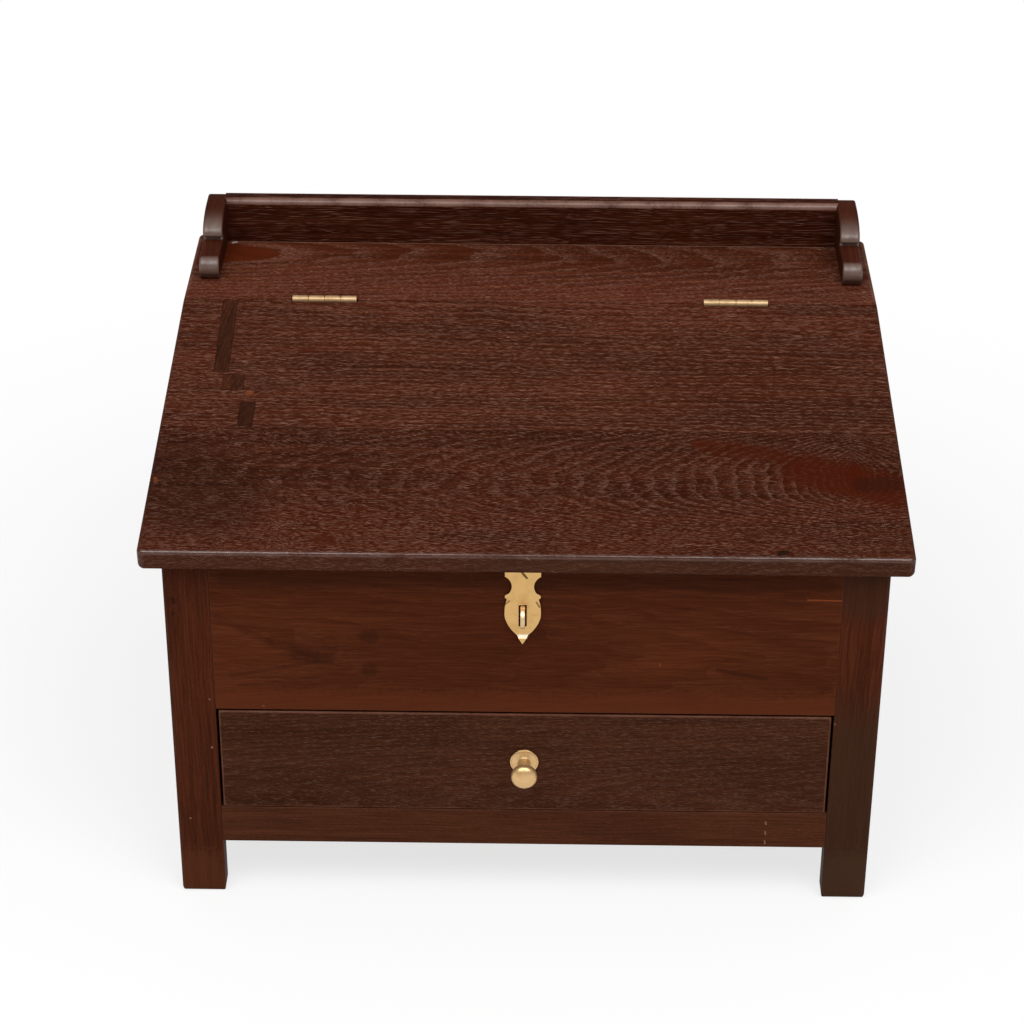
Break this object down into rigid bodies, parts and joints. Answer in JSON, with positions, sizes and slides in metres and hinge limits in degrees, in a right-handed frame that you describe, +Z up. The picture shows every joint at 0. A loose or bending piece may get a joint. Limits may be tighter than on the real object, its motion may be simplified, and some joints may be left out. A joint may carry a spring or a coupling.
{
  "type": "lap desk",
  "caption": "Slant-top wooden lap desk: hinged lid with a brass hasp and staple over a compartment, a ledge with a low scrolled gallery, and a drawer with a turned brass knob below.",
  "frame": {"origin": "on the floor, under the middle of the desk's box at rest, knob included", "axes": "+X to the writer's right along the lid's front edge, +Y from the drawer to the gallery, +Z up"},
  "size_m": [0.55, 0.4508, 0.3898],
  "materials": {
    "top_wood": "dark red-brown stain, thin satin lacquer, open pores",
    "front_wood": "dark red-brown stain, satin lacquer",
    "leg_wood": "dark brown stain, satin lacquer, worn arrises",
    "drawer_wood": "dark brown stain, satin lacquer, open pores",
    "inner_wood": "unlacquered hardwood",
    "patch_wood": "dark close-grained repair wood, satin",
    "brass": "worn satin brass"
  },
  "bodies": {
    "carcass": {"leg_front_left": "leg_wood", "leg_front_right": "leg_wood", "leg_back_left": "leg_wood", "leg_back_right": "leg_wood", "front_panel": "front_wood", "back_panel": "front_wood", "side_panel_left": "front_wood", "side_panel_right": "front_wood", "front_rail": "front_wood", "compartment_floor": "inner_wood", "drawer_runner_left": "inner_wood", "drawer_runner_right": "inner_wood", "drawer_guide_left": "inner_wood", "drawer_guide_right": "inner_wood", "ledge_board": "top_wood", "gallery_back": "top_wood", "gallery_bracket_left": "top_wood", "gallery_bracket_right": "top_wood", "staple": "brass", "hinge_leaf_ledge_left": "brass", "hinge_leaf_ledge_right": "brass", "hinge_pin_left": "brass", "hinge_pin_right": "brass", "screw_ledge_left_outer": "brass", "screw_ledge_left_inner": "brass", "screw_ledge_right_outer": "brass", "screw_ledge_right_inner": "brass"},
    "lid": {"lid_board_front": "top_wood", "lid_board_back": "top_wood", "lid_patch_long": "patch_wood", "lid_patch_square": "patch_wood", "lid_patch_short": "patch_wood", "hinge_leaf_lid_left": "brass", "hinge_leaf_lid_right": "brass", "screw_lid_left_outer": "brass", "screw_lid_left_inner": "brass", "screw_lid_right_outer": "brass", "screw_lid_right_inner": "brass", "hasp_leaf": "brass", "hasp_pin": "brass", "screw_hasp_left": "brass", "screw_hasp_right": "brass"},
    "hasp": {"hasp_plate": "brass"},
    "drawer": {"drawer_front": "drawer_wood", "drawer_side_left": "inner_wood", "drawer_side_right": "inner_wood", "drawer_bottom": "inner_wood", "drawer_back": "inner_wood", "knob": "brass", "knob_screw": "brass"}
  },
  "joints": [
    {"name": "lid_hinge", "type": "hinge", "parent": "carcass", "child": "lid", "pos_m": [0, 0.1051, 0.3526], "axis": [-1, 0, 0], "range_deg": [0, 160]},
    {"name": "hasp_hinge", "type": "hinge", "parent": "lid", "child": "hasp", "pos_m": [-0.002, -0.2035, 0.29747], "axis": [-1, 0, 0], "range_deg": [0, 90]},
    {"name": "drawer_slide", "type": "slide", "parent": "carcass", "child": "drawer", "axis": [0, -1, 0], "range_m": [0, 0.3]}
  ]
}
